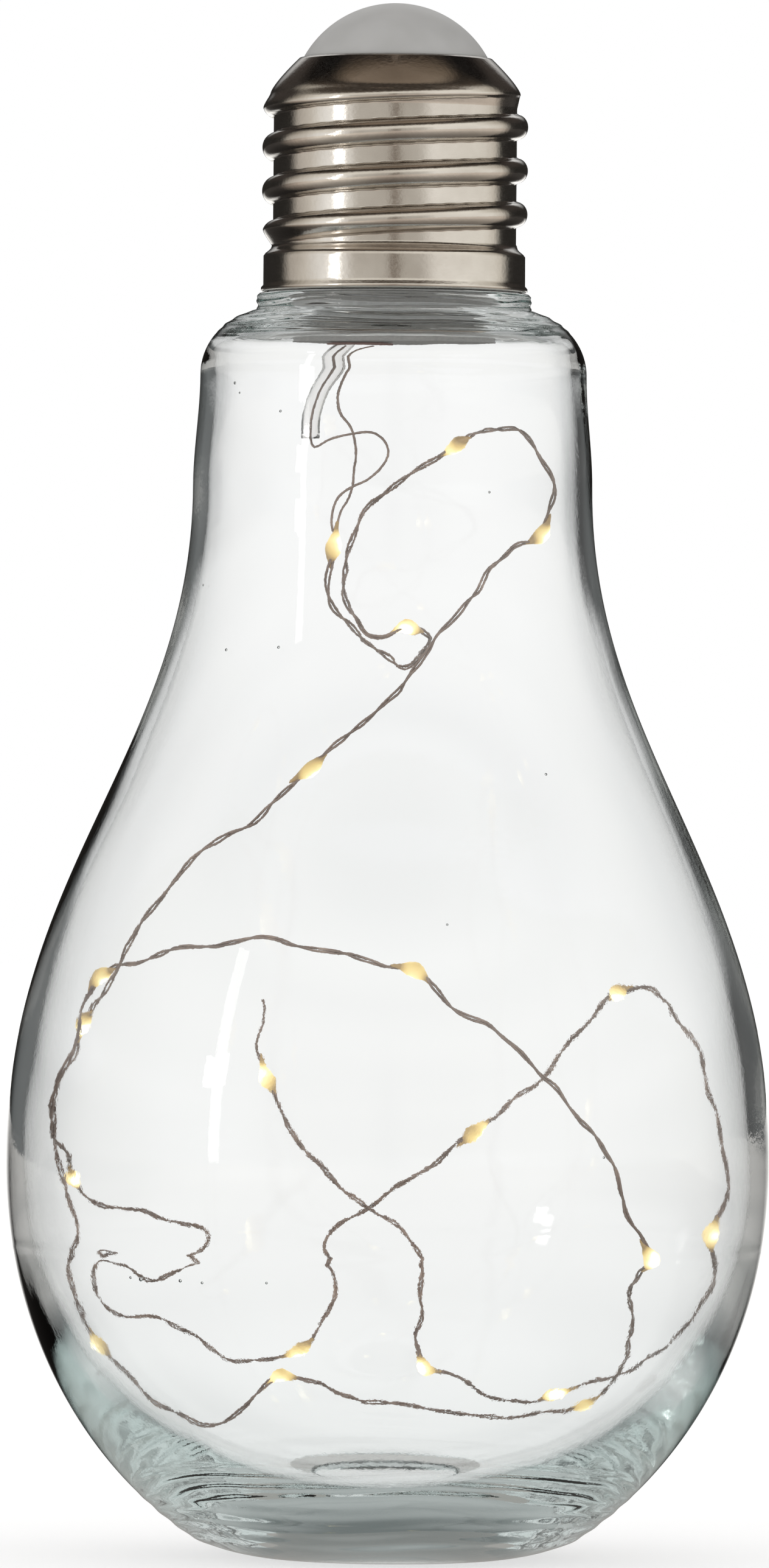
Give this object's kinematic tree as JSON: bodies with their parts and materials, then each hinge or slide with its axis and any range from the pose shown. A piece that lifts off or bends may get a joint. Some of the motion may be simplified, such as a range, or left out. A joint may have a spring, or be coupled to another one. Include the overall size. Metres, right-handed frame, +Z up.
{
  "type": "light bulb lamp",
  "caption": "Battery table light shaped like a large light bulb: clear thick-walled glass on its own base, a metal screw-shell cap with a frosted push button, and a loose string of tiny lights inside.",
  "frame": {"origin": "centre of the glass base on the table", "axes": "+Z up along the bulb's axis, -Y towards the viewer of the picture, +X to the viewer's right"},
  "size_m": [0.1156, 0.1156, 0.2348],
  "materials": {
    "clear_glass": "thick clear pressed glass with a faint grey-green tint",
    "polished_nickel": "polished warm nickel plating on rolled sheet",
    "frosted_plastic": "frosted translucent",
    "dark_plastic": "moulded, matt",
    "silicone": "soft, matt",
    "grommet_rubber": "soft, matt, pinkish brown",
    "cell_steel": "plated can, fine turned lines",
    "spring_steel": "drawn wire",
    "contact_brass": "bright sheet",
    "board": "green solder mask",
    "black_plastic": "moulded",
    "white_plastic": "moulded",
    "clear_vinyl": "clear soft sleeve",
    "enamelled_copper": "enamelled copper wire",
    "amber_resin": "clear amber resin drop over a warm-white chip"
  },
  "bodies": {
    "root": {"glass_bulb": "clear_glass"},
    "cap": {"cap_shell": "polished_nickel", "battery_holder": "dark_plastic", "seal_ring": "silicone", "button_cell_1": "cell_steel", "button_cell_2": "cell_steel", "button_cell_3": "cell_steel", "contact_spring": "spring_steel", "button_spring": "spring_steel", "contact_strip": "contact_brass", "circuit_board": "board", "push_switch": "black_plastic", "wire_grommet": "grommet_rubber", "clear_sleeve": "clear_vinyl", "lead_sleeved": "enamelled_copper", "lead_bare": "enamelled_copper", "light_01": "amber_resin", "light_02": "amber_resin", "light_03": "amber_resin", "light_04": "amber_resin", "light_05": "amber_resin", "light_06": "amber_resin", "light_07": "amber_resin", "light_08": "amber_resin", "light_09": "amber_resin", "light_10": "amber_resin", "light_11": "amber_resin", "light_12": "amber_resin", "light_13": "amber_resin", "light_14": "amber_resin", "light_15": "amber_resin", "light_16": "amber_resin", "light_17": "amber_resin", "light_18": "amber_resin", "light_19": "amber_resin", "light_20": "amber_resin", "wire_01": "enamelled_copper", "wire_02": "enamelled_copper", "wire_03": "enamelled_copper", "wire_04": "enamelled_copper", "wire_05": "enamelled_copper", "wire_06": "enamelled_copper", "wire_07": "enamelled_copper", "wire_08": "enamelled_copper", "wire_09": "enamelled_copper", "wire_10": "enamelled_copper", "wire_11": "enamelled_copper", "wire_12": "enamelled_copper", "wire_13": "enamelled_copper", "wire_14": "enamelled_copper", "wire_15": "enamelled_copper", "wire_16": "enamelled_copper", "wire_17": "enamelled_copper", "wire_18": "enamelled_copper", "wire_19": "enamelled_copper", "wire_20": "enamelled_copper"},
    "button": {"dome_button": "frosted_plastic", "switch_plunger": "white_plastic"},
    "door": {"battery_door": "dark_plastic", "contact_plate": "contact_brass"}
  },
  "joints": [
    {"name": "cap_lift", "type": "slide", "parent": "root", "child": "cap", "axis": [0, 0, 1], "range_m": [0, 0.008]},
    {"name": "button_press", "type": "slide", "parent": "cap", "child": "button", "axis": [0, 0, -1], "range_m": [0, 0.0012], "stiffness_N_per_m": 400, "springref_m": -0.002, "deforming": ["button_spring"]},
    {"name": "door_turn", "type": "hinge", "parent": "cap", "child": "door", "pos_m": [0.0056, 0.0024, 0.1834], "axis": [0, 0, -1], "range_deg": [0, 45]}
  ]
}
